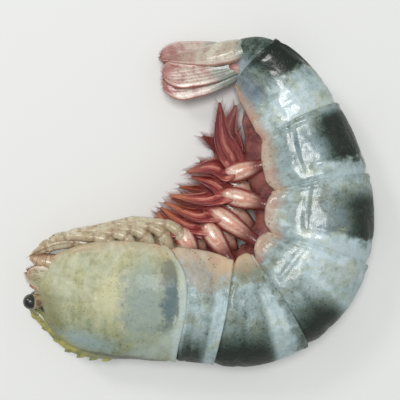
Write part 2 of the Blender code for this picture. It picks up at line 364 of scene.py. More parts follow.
# a material: its colours are screen colours, 0 to 255
class Finish:
    def __init__(self, name, coat=0.6, subsurface=0.15):
        self.material = bpy.data.materials.new(name)
        self.material.use_nodes = True
        self.tree = self.material.node_tree
        self.surface = self.tree.nodes["Principled BSDF"]
        self.set("Coat Weight", coat)
        self.set("Coat Roughness", 0.12)
        self.set("Subsurface Weight", subsurface)
        self.set("Subsurface Radius", (1.0, 0.9, 0.75))
        self.set("Subsurface Scale", 0.0012)

    def give(self, socket, value):  # a link to what varies, or a value of its own
        if isinstance(value, Wire):
            self.tree.links.new(value.socket, socket)
        else:
            socket.default_value = linear(value) if socket.type == "RGBA" else value

    def set(self, name, value):
        self.give(self.surface.inputs[name], value)

    def node(self, kind, settings, inputs, out=0):
        node = self.tree.nodes.new(kind)
        for name, value in settings.items():
            if name == "stops":  # a ramp's places and colours
                while len(node.color_ramp.elements) < len(value):
                    node.color_ramp.elements.new(0.5)
                for stop, (at, colour) in zip(node.color_ramp.elements, value):
                    stop.position, stop.color = at, linear(colour)
            else:
                setattr(node, name, value)
        for name, value in inputs.items():
            self.give(node.inputs[name], value)
        return Wire(self, node.outputs[out])

    def mark(self, name):  # a value that the mesh holds at each point
        return self.node("ShaderNodeAttribute", {"attribute_name": name}, {}, "Fac")

    def place(self):
        return self.node("ShaderNodeTexCoord", {}, {}, "Object")

    def side(self, axis):  # one of the three places, in metres
        return self.node("ShaderNodeSeparateXYZ", {}, {0: self.place()}, axis)

    def grain(self, scale, detail=3.0, distortion=0.0, vector=None):
        inputs = {"Vector": vector or self.place(), "Scale": scale, "Detail": detail}
        return self.node("ShaderNodeTexNoise", {}, dict(inputs, Distortion=distortion))

    def streaks(self, x, y, z, detail=3.0):  # grain that is drawn out along a piece
        return self.grain(1.0, detail, 0.0, self.node("ShaderNodeCombineXYZ", {}, {0: x, 1: y, 2: z}))

    def dots(self, scale):  # distance to the nearest of some scattered points
        return self.node("ShaderNodeTexVoronoi", {}, {"Vector": self.place(), "Scale": scale})

    def mix(self, low, high, mask, blend="MIX"):  # colours, by a mask
        settings = {"data_type": "RGBA", "blend_type": blend}
        return self.node("ShaderNodeMix", settings, {6: low, 7: high, 0: mask}, 2)

    def ramp(self, value, stops):
        return self.node("ShaderNodeValToRGB", {"stops": stops}, {"Fac": value})

    # layers of colour over the first, each where its mask is 1, then roughness and bump
    def done(self, colour, layers, roughness, relief, depth, strength):
        for over, mask in layers:
            colour = self.mix(colour, over, mask)
        self.set("Base Color", colour)
        self.set("Roughness", roughness)
        bump = {"Height": relief, "Distance": depth, "Strength": strength}
        self.set("Normal", self.node("ShaderNodeBump", {}, bump))
        return self.material


# the shell's look: a tone runs from pale to dark, and around is 0 on the back, 1 under the belly
shellLook = {
    "ramp": (
        (0.00, (202, 218, 222)),
        (0.22, (172, 190, 190)),
        (0.44, (136, 152, 149)),
        (0.62, (96, 112, 106)),
        (0.82, (54, 68, 60)),
        (1.00, (34, 42, 35)),
    ),
    "warm": (228, 214, 168),  # a wash over parts of it
    "warmHold": 0.45,
    "cool": (212, 226, 230),
    "edge": (196, 144, 116),
    "edgeGrain": (206, 170, 142),
    "edgeFrom": 0.76,
    "fleck": (62, 62, 38),
    "flesh": (186, 150, 128),
    "backTone": 0.50,
    "flankTone": 0.36,
    "bands": (),  # dark: start, end, lowest around, strength, how softly it ends on the flank
    "ribs": ((0.80, 1.10, 0.80, 0.22),),  # pale, the same way
    "patches": (),  # share, around, half length, half height, colour, hold
    "streaks": 9.0,  # lines that run across the body, for each plate
    "wet": 0.5,
}


def window(value, start, end, soft):  # 1 between start and end
    return value.over(start - soft, start + soft) * (1 - value.over(end - soft, end + soft))


def shellFinish(name, look):
    finish = Finish(name, subsurface=0.12)
    finish.set("Specular IOR Level", 0.3)
    around, share = finish.mark("around"), finish.mark("share")
    cloud = finish.grain(240)
    mottle = finish.grain(780, 5, 0.6)
    fine = finish.grain(3000, 2)
    lines = finish.streaks(share * look["streaks"], around * 2.6, cloud * 1.5, 2)
    clouded, mottled, lined = cloud - 0.5, mottle - 0.5, lines - 0.5
    raggedAround = around + mottled * 0.16 + clouded * 0.12
    raggedShare = share + mottled * 0.16 + lined * 0.10
    tone = look["flankTone"] + (look["backTone"] - look["flankTone"]) * (1 - raggedAround.over(0.16, 0.55))
    for start, end, lowest, strength, soft in look["bands"]:
        fade = 1 - raggedAround.over(lowest - soft, lowest + 0.06)
        tone = tone + window(raggedShare, start, end, 0.09) * fade * (mottle * 0.5 + 0.75) * strength
    pale = 0.0
    for start, end, lowest, strength in look["ribs"]:
        rib = window(share + mottled * 0.06, start, end, 0.045)
        rib = rib * (1 - raggedAround.over(lowest - 0.10, lowest + 0.10))
        tone = tone - rib * strength
        pale = rib + pale
    tone = tone + mottled * 0.66 + clouded * 0.40 + lined * 0.42 + (fine - 0.5) * 0.22
    dots = 1 - (finish.dots(1500) - (tone - 0.5) * 0.22).over(0.10, 0.26)
    colour = finish.ramp(tone + dots * 0.16 * (1 - pale * 0.5), look["ramp"])
    wash = finish.grain(330, 3, 0.8)
    colour = finish.mix(colour, look["warm"], wash.over(0.46, 0.66) * look["warmHold"], "MULTIPLY")
    colour = finish.mix(colour, look["cool"], wash.over(0.30, 0.50) * -0.4 + 0.4, "MULTIPLY")
    for at, middleAround, long, tall, patchColour, hold in look["patches"]:
        across, down = (raggedShare - at) * (1 / long), (raggedAround - middleAround) * (1 / tall)
        distance = across * across + down * down + lined * 0.9
        hold = (1 - distance.over(-0.1, 1.7)) * (0.75 + mottle * 0.6) * hold
        colour = finish.mix(colour, patchColour, hold)
    rim = (around + mottled * 0.10 + lined * 0.06).over(look["edgeFrom"] - 0.03, look["edgeFrom"] + 0.09)
    freckles = (1 - finish.dots(1700).over(0.16, 0.30)) * wash.over(0.36, 0.60)
    layers = (
        (finish.mix(look["edge"], look["edgeGrain"], wash.over(0.40, 0.60)), rim * (0.5 + cloud * 0.5)),
        (look["fleck"], freckles * (0.30 + rim * 0.25) * (1 - pale * 0.3)),
        (look["flesh"], around.over(0.885, 0.90)),
    )
    finish.set("Coat Weight", mottle.over(0.30, 0.60) * around.over(0.12, 0.36) * (look["wet"] * 0.8))
    roughness = 0.40 - look["wet"] * 0.20 + mottle * 0.24
    relief = fine * 0.45 + mottle * 1.1 + dots * 0.25
    return finish.done(colour, layers, roughness, relief, 0.00018, 0.8)


headLook = dict(
    shellLook,
    ramp=(
        (0.00, (214, 214, 190)),
        (0.26, (194, 194, 162)),
        (0.50, (166, 170, 138)),
        (0.72, (128, 138, 112)),
        (1.00, (84, 92, 70)),
    ),
    warm=(226, 220, 170), warmHold=0.40, cool=(214, 228, 226),
    edge=(186, 168, 138), edgeFrom=0.78,
    backTone=0.62, flankTone=0.28, ribs=(), streaks=24.0, wet=0.22,
    patches=(
        (0.06, 0.30, 0.12, 0.20, (132, 128, 84), 0.6),
        (0.34, 0.20, 0.20, 0.10, (152, 174, 176), 0.7),
        (0.50, 0.50, 0.12, 0.12, (214, 210, 168), 0.7),
        (0.72, 0.50, 0.16, 0.24, (150, 165, 156), 0.95),
        (0.80, 0.19, 0.16, 0.08, (176, 188, 178), 0.7),
        (0.93, 0.30, 0.08, 0.09, (184, 196, 186), 0.75),
        (0.895, 0.56, 0.065, 0.21, (98, 118, 122), 0.95),
        (0.89, 0.72, 0.10, 0.07, (126, 126, 104), 0.7),
        (0.16, 0.05, 0.18, 0.09, (164, 162, 96), 0.7),
        (0.66, 0.05, 0.26, 0.09, (94, 94, 86), 0.8),
        (1.00, 0.34, 0.06, 0.50, (186, 202, 198), 0.85),
    ),
)

# what sets each segment apart
segmentLooks = (
    dict(
        backTone=0.54, flankTone=0.30, edge=(218, 190, 158), edgeFrom=0.74, flesh=(216, 190, 160),
        bands=((0.0, 0.66, 0.34, 0.56, 0.26),),
        ribs=((0.10, 0.24, 0.60, 0.24), (0.76, 1.10, 0.66, 0.26)),
        patches=(
            (0.55, 0.70, 0.30, 0.08, (178, 150, 120), 0.5),
            (0.90, 0.84, 0.24, 0.14, (206, 178, 144), 0.8),
        ),
    ),
    dict(
        backTone=0.60, edge=(208, 182, 146), flesh=(206, 180, 148),
        bands=((0.02, 0.62, 0.38, 0.52, 0.26), (-0.1, 0.66, 0.66, 0.14, 0.26)),
        ribs=((0.68, 0.90, 0.58, 0.36),),
        patches=(
            (0.55, 0.74, 0.45, 0.06, (132, 126, 92), 0.6),
            (0.40, 0.88, 0.60, 0.12, (170, 150, 112), 0.7),
        ),
    ),
    dict(
        backTone=0.52, flankTone=0.34, wet=0.8,
        bands=((-0.1, 0.48, 0.42, 0.52, 0.26), (-0.1, 0.42, 0.62, 0.14, 0.26)),
        ribs=((0.56, 1.10, 0.66, 0.28),),
    ),
    dict(
        backTone=0.34, flankTone=0.26, wet=0.9,
        bands=((0.34, 0.76, 0.42, 0.52, 0.20), (0.36, 0.86, 0.70, 0.20, 0.26)),
        ribs=((-0.1, 0.32, 0.66, 0.20),),
        patches=(
            (0.12, 0.28, 0.18, 0.26, (186, 202, 206), 0.6),
            (0.50, 0.54, 0.20, 0.16, (112, 130, 136), 0.6),
        ),
    ),
    dict(
        backTone=0.36, flankTone=0.30, wet=1.0,
        bands=((0.33, 0.90, 0.43, 0.64, 0.12), (0.38, 0.85, 0.74, 0.18, 0.26)),
        ribs=((-0.1, 0.14, 0.66, 0.24),),
        patches=(
            (0.58, 0.58, 0.26, 0.14, (116, 142, 152), 0.6),
            (0.10, 0.28, 0.16, 0.24, (186, 202, 206), 0.6),
        ),
    ),
    dict(
        backTone=0.32, flankTone=0.26, wet=1.0,
        bands=((0.64, 1.30, 0.45, 0.68, 0.16), (0.58, 1.3, 0.76, 0.24, 0.26)),
        ribs=((-0.1, 0.46, 0.70, 0.24),),
        patches=((0.80, 0.68, 0.30, 0.16, (102, 116, 136), 0.55),),
    ),
)

# the body: how far the flanks tuck in, and the belly's depth as a share of the flanks'
bodyShape = {
    "headTuck": 0.30,
    "headBelly": 0.86,
    "flankTuck": 0.40,
    "belly": 0.62,
    "halfAround": 80,
    "headRings": 84,
    "segmentRings": 38,
    # for each segment, how much its flank rises at the corners, and how far its keel stands out
    "cornerRise": (0.10, 0.13, 0.14, 0.15, 0.15, 0.05),
    "keel": (0.0, 0.0, 0.00003, 0.00004, 0.00012, 0.00022),
    "overlap": 0.13,  # the share of a segment that lies under the plate before it
    "edgeAround": 0.86,  # the flank's lower edge
    "lipAround": 0.90,
    "rim": 0.00022,
    "lip": 0.0009,
    "halfGirth": 26,  # millimetres once over a flank, for the grooves
    # grooves in the head shell: points of (millimetres, around), width in millimetres, and depth
    "headGrooves": (
        (((1.5, 0.63), (5.0, 0.585), (8.6, 0.52)), 0.55, 0.00026),
        (((8.6, 0.52), (9.6, 0.42), (11.8, 0.30), (12.6, 0.22)), 0.60, 0.00030),
        (((0.2, 0.40), (4.0, 0.43), (8.0, 0.46)), 0.50, 0.00018),
        (((0.6, 0.455), (4.5, 0.475)), 0.35, -0.00016),
        (((12.6, 0.36), (16.0, 0.34), (21.0, 0.37)), 0.60, 0.00014),
    ),
}


def crossPoint(at, u, lobe, belly, tuck):  # one flank of a section, from the back's ridge to the belly
    top, low, wide, _ = section(at)
    edge, lip = bodyShape["edgeAround"], bodyShape["lipAround"]
    if u <= 0.5:
        angle = pi * u
        return wide * sin(angle) ** 0.95, top * cos(angle)
    if u <= edge:
        t = (u - 0.5) / (edge - 0.5)
        return wide * (1 - tuck * t**2.4), -low * lobe * t
    inner = wide * (1 - tuck)
    t = (u - edge) / (lip - edge)
    if t <= 1:
        return inner * (1 - 0.14 * eased(t)), -low * (lobe + (belly - lobe) * t * t)
    t = (u - lip) / (1 - lip)
    return 0.86 * inner * (1 - t), -low * belly * (1 - 0.04 * sin(pi * t))


def plate(name, front, rear, rings, form, relief, look):
    # a plate of shell right round the body, between two edges that are functions of around
    half = bodyShape["halfAround"]
    stops = [(0.0, -3), (0.0, -1), *[(i / rings, 0) for i in range(rings + 1)], (1.0, 1), (1.0, 3)]
    places, marks = [], []
    for share, inwards in stops:
        ring, mark = [], []
        for k in range(2 * half):
            u = k / half if k <= half else (2 * half - k) / half
            side = 1 if k <= half else -1
            at = front(u) + (rear(u) - front(u)) * share
            if abs(inwards) == 3:
                at += copysign(bodyShape["lip"], -inwards)
            centre, _, back, flank = frameAt(at)
            w, d = crossPoint(at, u, form["lobe"](share, u), form["belly"], form["tuck"])
            reach = hypot(w, d)
            out = form["size"](share) * reach + relief(at * 1000, u, share, side)
            out -= bodyShape["rim"] * abs(inwards)
            grow = out / reach * curl["shrink"]
            ring.append(centre + flank * (w * side * grow) + back * (d * grow))
            mark.append({"around": u, "share": share})
        places.append(ring)
        marks.append(mark)
    pieceFrom(name, [skin(places, marks)], [shellFinish(name, look)])


def ripple(mm, u, side, seed):  # the shell's own slight unevenness
    wide = noise.noise(Vector((mm * 0.35, u * 9, side * 3.1 + seed)))
    close = noise.noise(Vector((mm * 1.1, u * 26, side * 5.3 + seed)))
    return 0.00010 * wide + 0.000034 * close


def groove(mm, u, stops, wide, deep):  # how deep a groove between some points is here
    nearest, girth = 9.0, bodyShape["halfGirth"]
    for (mmA, uA), (mmB, uB) in zip(stops, stops[1:]):
        x, y = mm - mmA, (u - uA) * girth
        dx, dy = mmB - mmA, (uB - uA) * girth
        t = limited((x * dx + y * dy) / (dx * dx + dy * dy))
        nearest = min(nearest, hypot(x - dx * t, y - dy * t))
    return deep * hump(nearest, 0.0, wide)


def headRelief(mm, u, share, side):
    out = ripple(mm, u, side, 1.0) - sum(groove(mm, u, *row) for row in bodyShape["headGrooves"])
    out -= 0.00018 * hump(u, 0.075, 0.02) * eased((17 - mm) / 5)
    out += 0.00020 * hump(u, 0.0, 0.035) * eased((18 - mm) / 5)
    out += 0.00022 * hump(mm, 15.5, 5.0) * hump(u, 0.62, 0.14)
    out += 0.00007 * hump(share, 0.985, 0.010) - 0.00010 * hump(share, 0.955, 0.012)
    return out + 0.00014 * hump(u, 0.835, 0.016) - 0.00013 * hump(u, 0.795, 0.018)


def headShell():
    frontEnd = curl["sections"][0][0]

    def front(u):
        notch = 0.0015 * hump(u, 0.24, 0.08)
        corner = 0.0016 * eased((u - 0.60) / 0.28)
        return frontEnd + 0.0003 + notch + corner

    def rear(u):
        rounded = limited((u - 0.60) / 0.27)
        return curl["headShell"] + 0.0006 * hump(u, 0.48, 0.16) - 0.0044 * rounded**2.6

    form = {
        "lobe": lambda share, u: 0.94,
        "belly": bodyShape["headBelly"],
        "tuck": bodyShape["headTuck"],
        "size": lambda share: 1.0 + 0.008 * share,
    }
    plate("headShell", front, rear, bodyShape["headRings"], form, headRelief, headLook)


def segment(number):
    start, length = borders[number], curl["segments"][number]
    rise, keel = bodyShape["cornerRise"][number], bodyShape["keel"][number]

    def front(u):
        if number == 0:  # the first reaches far under the head shell's rounded corner
            return start - 0.0011 - 0.0036 * eased((u - 0.50) / 0.25)
        return start - bodyShape["overlap"] * length * (1 - 0.4 * eased((u - 0.6) / 0.2))

    def rear(u):
        return start + length * (1 + 0.04 * hump(u, 0.55, 0.2) - 0.03 * hump(u, 0.0, 0.15))

    def relief(mm, u, share, side):
        out = ripple(mm, u, side, 7.0 * number)
        out -= 0.00012 * hump(share, 0.34, 0.03) * eased((0.62 - u) / 0.1)
        out += 0.00012 * hump(share, 0.985, 0.02) - 0.00011 * hump(share, 0.93, 0.025)
        out -= 0.00016 * hump(u, 0.60 + 0.03 * sin(3 * share), 0.022) * eased((share - 0.15) / 0.2)
        out += 0.00012 * hump(u, 0.84, 0.014) - 0.00010 * hump(u, 0.805, 0.02)
        out -= 0.00014 * hump(u, 0.74, 0.05) * hump(share, 0.22, 0.12)
        return out + keel * hump(u, 0.0, 0.03) * eased(share / 0.3)

    sunk = 0.940 if number == 0 else 0.957  # the front edge lies under the plate before it
    form = {
        "lobe": lambda share, u: 1.0 - rise * abs(2 * limited(share) - 1.06) ** 2.6,
        "belly": bodyShape["belly"],
        "tuck": bodyShape["flankTuck"],
        "size": lambda share: sunk + 0.046 * eased((share - 0.10) / 0.12) + 0.014 * share,
    }
    look = dict(shellLook, **segmentLooks[number])
    plate(f"segment{number + 1}", front, rear, bodyShape["segmentRings"], form, relief, look)


def tailRoot():
    def front(u):
        return borders[-1] - 0.0010

    def rear(u):
        return bodyEnd + 0.0012

    form = {
        "lobe": lambda share, u: 1.0,
        "belly": 0.8,
        "tuck": bodyShape["flankTuck"],
        "size": lambda share: 0.93 * sqrt(1 - 0.93 * (max(share - 0.12, 0.0) / 0.88) ** 2.0),
    }
    paleFlank = (0.5, 0.66, 0.60, 0.26, (176, 192, 200), 0.85)
    pinkEnd = (1.0, 0.45, 0.16, 0.9, (176, 150, 132), 0.8)
    look = dict(shellLook, backTone=0.72, flankTone=0.50, ribs=(), wet=0.7, patches=(paleFlank, pinkEnd))

    def relief(mm, u, share, side):
        return ripple(mm, u, side, 60.0)

    plate("tailRoot", front, rear, 20, form, relief, look)


def tube(start, end, count, around, outline):  # a closed tube along the body
    rings, marks = [], []
    for i in range(count + 1):
        at = start + (end - start) * i / count
        centre, _, back, flank = frameAt(at)
        points = [outline(at, i / count, s, c) for s, c in turn(around)]
        rings.append([centre + flank * sideways + back * backwards for sideways, backwards in points])
        marks.append([{"along": i / count}] * around)
    return skin(rings, marks)


# the soft underside between the plates, ridged across at each segment
underside = {
    "start": 0.0030,
    "rings": 150,
    "around": 56,
    "wide": 0.52,  # as a share of the flank's
    "inside": 0.30,  # its depths are shares too: this one hides in the body
    "depth": 1.02,
    # how much deeper it is near a place, and from a place on: share, place, length
    "near": ((-0.36, 0.0232, 0.0012), (0.20, 0.0670, 0.0100)),
    "beyond": ((0.06, 0.025, 0.01), (-0.50, 0.076, 0.007)),
    "ridge": 0.00022,
    "ridgeLength": 0.0052,
}


def belly():
    def outline(at, t, s, c):
        _, low, wide, _ = section(at)
        depth = underside["depth"] - underside["inside"]
        depth += sum(much * hump(at, place, length) for much, place, length in underside["near"])
        depth += sum(much * eased((at - place) / length) for much, place, length in underside["beyond"])
        beat = (at - borders[0]) / underside["ridgeLength"] * pi
        ridged = underside["ridge"] * sin(beat) * eased((at - 0.022) / 0.003)
        narrow = 1 - (1 - limited(t / 0.03)) ** 2 * 0.7
        down = low * (underside["inside"] + depth * 0.5 * (1 - c)) + ridged * eased(-c)
        across = underside["wide"] * wide * copysign(abs(s) ** 0.7, s) * (1 - 0.35 * eased(-c))
        return across * narrow, -down

    shape = tube(underside["start"], bodyEnd - 0.0006, underside["rings"], underside["around"], outline)
    finish = Finish("belly", coat=0.5, subsurface=0.3)
    cloud = finish.grain(420, 4)
    layers = (
        ((104, 48, 46), cloud.over(0.36, 0.62)),
        ((172, 148, 116), 1 - finish.mark("along").over(0.18, 0.27)),
        ((176, 104, 90), finish.grain(1300).over(0.50, 0.74) * 0.4),
    )
    relief = finish.grain(1500) + cloud
    material = finish.done((150, 86, 76), layers, 0.25 + cloud * 0.2, relief, 0.00015, 0.6)
    pieceFrom("belly", [shape], [material])


belly()
headShell()
for number in range(6):
    segment(number)
tailRoot()
print("body made")

# swimming legs: five pairs of oval stems, each with two long blades
swimming = {
    # where each stem's middle lies from the flank's lower edge: towards the head, and outwards
    "stems": ((0.0046, 0.0011), (0.0041, 0.0037), (0.0004, 0.0056), (-0.0020, 0.0044), (-0.0005, 0.0039)),
    # widths and thicknesses: the size, and its shares along the limb
    "stemWidth": (0.0033, (0.60, 0.60, 0.66, 0.88, 1.02, 0.84, 0.26)),
    "stemThick": (0.0033, (0.5, 0.5, 0.55, 0.72, 0.84, 0.68, 0.2)),
    "farBack": 0.0020,  # the far legs' stems show between the near ones
    # where each near leg's two blades end in the plane of the curl, then each far leg's: the first
    # legs' tips come together by the head, and the last legs' lie back along the belly
    "tips": (
        (((-0.0070, -0.0020), (-0.0054, -0.0042)), ((-0.0066, -0.0030), (-0.0042, -0.0048))),
        (((-0.0064, -0.0012), (-0.0046, -0.0028)), ((-0.0066, -0.0018), (-0.0034, -0.0034))),
        (((-0.0058, -0.0003), (-0.0032, 0.0010)), ((-0.0048, 0.0003), (-0.0026, -0.0014))),
        (((-0.0050, 0.0008), (-0.0014, 0.0038)), ((-0.0034, 0.0022), (0.0000, 0.0064))),
        (((-0.0022, 0.0046), (0.0032, 0.0160)), ((0.0004, 0.0106), (0.0060, 0.0158))),
    ),
    "tipHeight": 0.0052,
    "tipRise": 0.0013,  # the near legs' tips lie higher, the far legs' lower
    "bow": (0.0004, 0.0006, 0.0008, 0.0006, -0.0008),
    "bladesFrom": 20,  # of the 28 steps along the stem
    "blades": ((0.75, 0.0004, 0.0, 1), (0.45, -0.0006, 0.0008, -1)),  # turn, place, drop, side it bows to
    "bladeWidth": (0.0034, (0.55, 0.85, 1.0, 0.96, 0.78, 0.46, 0.08)),
    "bladeThick": (0.0009, (1.5, 1.3, 1.0, 0.85, 0.7, 0.5, 0.2)),
    "broader": (1.05, 1.05, 1.05, 1.05, 1.3),
    "hairs": 62,
    "hairLength": 0.0014,
}


def stemFinish():
    finish = Finish("swimmingStem", coat=0.7, subsurface=0.25)
    along, across = finish.mark("along"), finish.mark("across")
    cloud = finish.grain(600)
    lines = finish.streaks(across * 2.2, along * 3.0, cloud * 1.4)
    layers = (
        ((212, 150, 128), lines.over(0.40, 0.66)),
        # painted shade and highlight: the stem's rounded sides go red as painted shade, and its pale middle
        # is partly its own cream, partly a painted highlight on its top
        ((160, 74, 66), (across * across + (cloud - 0.5) * 0.3).over(0.20, 0.80)),
        # painted shade: the stem's root, in the shade under the flank's edge, is dark red
        ((112, 44, 40), 1 - along.over(0.34, 0.56)),
        ((164, 76, 66), along.over(0.80, 0.95)),
        ((160, 84, 66), finish.grain(2400).over(0.58, 0.68) * 0.6),
    )
    relief = finish.grain(1500) + cloud + lines * 0.6
    # the pale base colour shows in the stem's middle: partly its own cream, partly painted highlight
    return finish.done((240, 208, 188), layers, 0.2 + cloud * 0.15, relief, 0.00012, 0.7)


def bladeFinish():
    finish = Finish("swimmingBlade", coat=0.5)
    along, across = finish.mark("along"), finish.mark("across")
    cloud = finish.grain(520, 4)
    lines = finish.streaks(across * 3.2, along * 2.0, cloud * 1.2)
    headward = 1 - finish.side(0).over(-0.0030, 0.0010)
    layers = (
        ((174, 78, 72), lines.over(0.38, 0.58)),
        # painted highlight: pale streaks along the blade stand in for glints on its wet ridges
        ((226, 152, 134), lines.over(0.56, 0.68) * 0.85),
        ((170, 86, 76), 0.8 - along.over(0.02, 0.30) * 0.8),
        ((206, 126, 78), (along + (lines - 0.5) * 0.6).over(0.62, 0.98) * 0.6 * headward),
        # painted shade: blades further towards the tail, in the shade under its curl, are darker
        ((98, 32, 34), finish.side(1).over(0.0020, 0.0120) * 0.5),
        ((92, 32, 34), cloud.over(0.54, 0.70) * 0.6),
    )
    relief = (along * 150).wave() * 0.10 + lines * 1.2 + finish.grain(2400) * 0.6
    return finish.done((104, 36, 36), layers, 0.22 + cloud * 0.25, relief, 0.00010, 0.7)


def hairFinish(name, colour, deep):
    finish = Finish(name, coat=0.2, subsurface=0.0)
    layers = [(deep, finish.grain(900).over(0.38, 0.62))]
    return finish.done(colour, layers, 0.35, finish.grain(5000), 0.00003, 0.4)


def fringe(path, side, reach, wide, count, start, lean):  # bristles along a blade's edges
    shape = bmesh.new()
    last = len(path) - 1
    for i in range(count):
        t = start + (1.0 - start) * (i + dice.random() * 0.6) / count
        place = min(int(t * last), last - 1)
        point = path[place].lerp(path[place + 1], t * last - place)
        along = (path[place + 1] - path[place]).normalized()
        across = (side - along * side.dot(along)).normalized()
        for hand in (1, -1):
            way = (across * hand * (1 - lean) + along * (lean + 0.35 * t)).normalized()
            root = point + across * (hand * 0.46 * wide(t))
            hair(shape, root, root + way * (reach * (0.75 + 0.4 * dice.random())))
    return shape


def swimmingLeg(number, side):
    _, low, wide, _ = section(borders[number] + 0.5 * curl["segments"][number])
    centre, tail, back, flank = frameAt(borders[number] + 0.5 * curl["segments"][number])
    ahead, beyond = swimming["stems"][number]
    ahead -= 0.0 if side > 0 else swimming["farBack"]
    middle = centre - tail * ahead - back * (low * 0.98 + beyond) + flank * (0.34 * wide * side)
    root = centre - tail * (0.25 * ahead) - back * (0.62 * low) + flank * (0.44 * wide * side)
    stem = smoothPath([root, root.lerp(middle, 0.5), middle, middle + (middle - root) * 0.42], 28)
    shapes, hairs = [limb(stem, *girths(swimming, "stem"), tail, 28)], []
    even, thickness = girths(swimming, "blade")

    def width(t):  # the edges are slightly wavy
        return even(t) * swimming["broader"][number] * (1 + 0.03 * sin(t * 110))

    tips = swimming["tips"][number][0 if side > 0 else 1]
    for (x, y), (turned, off, sunk, hand) in zip(tips, swimming["blades"]):
        tip = Vector((x, y, swimming["tipHeight"] + side * swimming["tipRise"] - sunk))
        start = stem[swimming["bladesFrom"]] + flank * (off * side)
        chord = tip - start
        across = Vector((-chord.y, chord.x, 0.0)).normalized()
        bend = start + chord * 0.5 + across * (hand * swimming["bow"][number]) + flank * (0.0006 * side)
        blade = smoothPath([start, start + chord * 0.22, bend, tip], 34)
        facing = (across * cos(turned) + up * sin(turned) * side).normalized()
        shapes.append(limb(blade, width, thickness, facing, 20, ridge=0.6, cup=0.12))
        hairs.append(fringe(blade, facing, swimming["hairLength"], width, swimming["hairs"], 0.12, 0.62))
    stems, blades, bristles = swimmingFinishes
    name = "swimmingLeg" + sideNames[side] + str(number + 1)
    pieceFrom(name, shapes + hairs, [stems, blades, blades, bristles])


dice = random.Random(7)
swimmingFinishes = (
    stemFinish(),
    bladeFinish(),
    hairFinish("swimmingHair", (176, 84, 72), (124, 46, 44)),
)
for number in range(5):
    for side in sideNames:
        swimmingLeg(number, side)
print("swimming legs made")

# walking legs: five pairs, folded forwards, and the jaw legs in front of them
walking = {
    # each pair from the front: its root, then knee, wrist and tip as distances from the root
    # towards the head and below the middle line
    "pairs": (
        ((0.0102, 0.0076), (0.0026, 0.0089), (0.0074, 0.0084), (0.0120, 0.0064)),
        ((0.0132, 0.0080), (0.0027, 0.0099), (0.0082, 0.0096), (0.0136, 0.0077)),
        ((0.0162, 0.0082), (0.0029, 0.0108), (0.0088, 0.0104), (0.0140, 0.0088)),
        ((0.0192, 0.0084), (0.0030, 0.0116), (0.0090, 0.0114), (0.0146, 0.0098)),
        ((0.0220, 0.0086), (0.0034, 0.0123), (0.0098, 0.0122), (0.0150, 0.0106)),
    ),
    "spread": 0.50,  # how far from the middle the first pair stands, as a share of the body's width
    "closer": 0.045,  # and how much closer each pair after it
    "lean": 0.0006,
    "width": 0.00140,
    "widths": (1.7, 1.85, 1.65, 1.32, 1.20, 1.12, 1.0, 0.80, 0.58, 0.18),
    "joints": (0.19, 0.35, 0.66, 0.84),
    "clawed": 3,  # how many pairs end in small claws
    "clawWidth": 0.00050,
    # a jaw leg's stops: along the body, below the middle line, and outwards
    "jaw": (
        (0.0086, 0.0066, 0.0018),
        (0.0056, 0.0077, 0.0023),
        (0.0020, 0.0072, 0.0021),
        (-0.0012, 0.0058, 0.0017),
        (-0.0032, 0.0044, 0.0010),
    ),
    "jawWidth": 0.0021,
    "jawWidths": (0.9, 1.0, 0.95, 0.88, 0.76, 0.58, 0.16),
    "jawJoints": (0.34, 0.66),
}


def legFinish(name, pale, deep, ring):
    finish = Finish(name, coat=0.4, subsurface=0.2)
    along, across = finish.mark("along"), finish.mark("across")
    cloud = finish.grain(520, 4)
    layers = (
        (deep, cloud.over(0.40, 0.62)),
        (deep, (across * across).over(0.5, 1.0) * 0.5),
        *[(ring, along.near(joint + 0.03, 0.035) * 0.55) for joint in walking["joints"]],
        (ring, finish.grain(2200, 2).over(0.57, 0.67) * 0.55),
    )
    return finish.done(pale, layers, 0.2 + cloud * 0.2, finish.grain(1800) + cloud, 0.00010, 0.5)


def legPath(stops, side, count=60):  # stops are distance along the body, below the middle, and outwards
    places = []
    for at, below, out in stops:
        centre, _, back, flank = frameAt(at)
        places.append(centre + flank * (side * out) - back * below)
    return smoothPath(places, count)


def jointed(size, joints, shares):  # a width with a knob at each joint
    def width(t):
        knob = sum(hump(t, joint, 0.020) - 0.8 * hump(t, joint + 0.032, 0.012) for joint in joints)
        return size * (profile(shares, t) + 0.14 * knob)

    return width


def walkingLeg(number, side):
    (at, below), (back1, down1), (back2, down2), (back3, down3) = walking["pairs"][number]
    out = section(at)[2] * (walking["spread"] - walking["closer"] * number)
    lean = walking["lean"] * (dice.random() - 0.5)
    stops = (
        (at, below - 0.0014, out * 0.8),
        (at - 0.35 * back1, (below + down1) / 2 + 0.0003, out),
        (at - back1, down1, out + 0.0004),
        (at - (back1 + back2) / 2, (down1 + down2) / 2 + 0.0001, out + 0.0002 + lean),
        (at - back2, down2, out - 0.0002 - lean),
        (at - (back2 + back3) / 2, (down2 + down3) / 2, out - 0.0008),
        (at - back3, down3, out - 0.0016),
    )
    path = legPath(stops, side, 72)
    width = jointed(walking["width"], walking["joints"], walking["widths"])
    shapes = [limb(path, width, lambda t: 0.92 * width(t), up, 16)]
    if number < walking["clawed"]:
        away = (path[-1] - path[-4]).cross(up).normalized()
        finger = [point + away * (0.0004 * sin(pi * i / 12)) for i, point in enumerate(path[-13:])]
        slim = tapered(walking["clawWidth"], (1.0, 0.95, 0.7, 0.25))
        shapes.append(limb(finger, slim, slim, up, 10))
    pieceFrom("walkingLeg" + sideNames[side] + str(number + 1), shapes, [legMaterial])


def jawLeg(side):
    path = legPath(walking["jaw"], side)
    width = jointed(walking["jawWidth"], walking["jawJoints"], walking["jawWidths"])
    shapes = [limb(path, width, width, up, 16), fringe(path, up, 0.0008, width, 60, 0.3, 0.35)]
    pieceFrom("jawLeg" + sideNames[side], shapes, [legMaterial, paleHair])


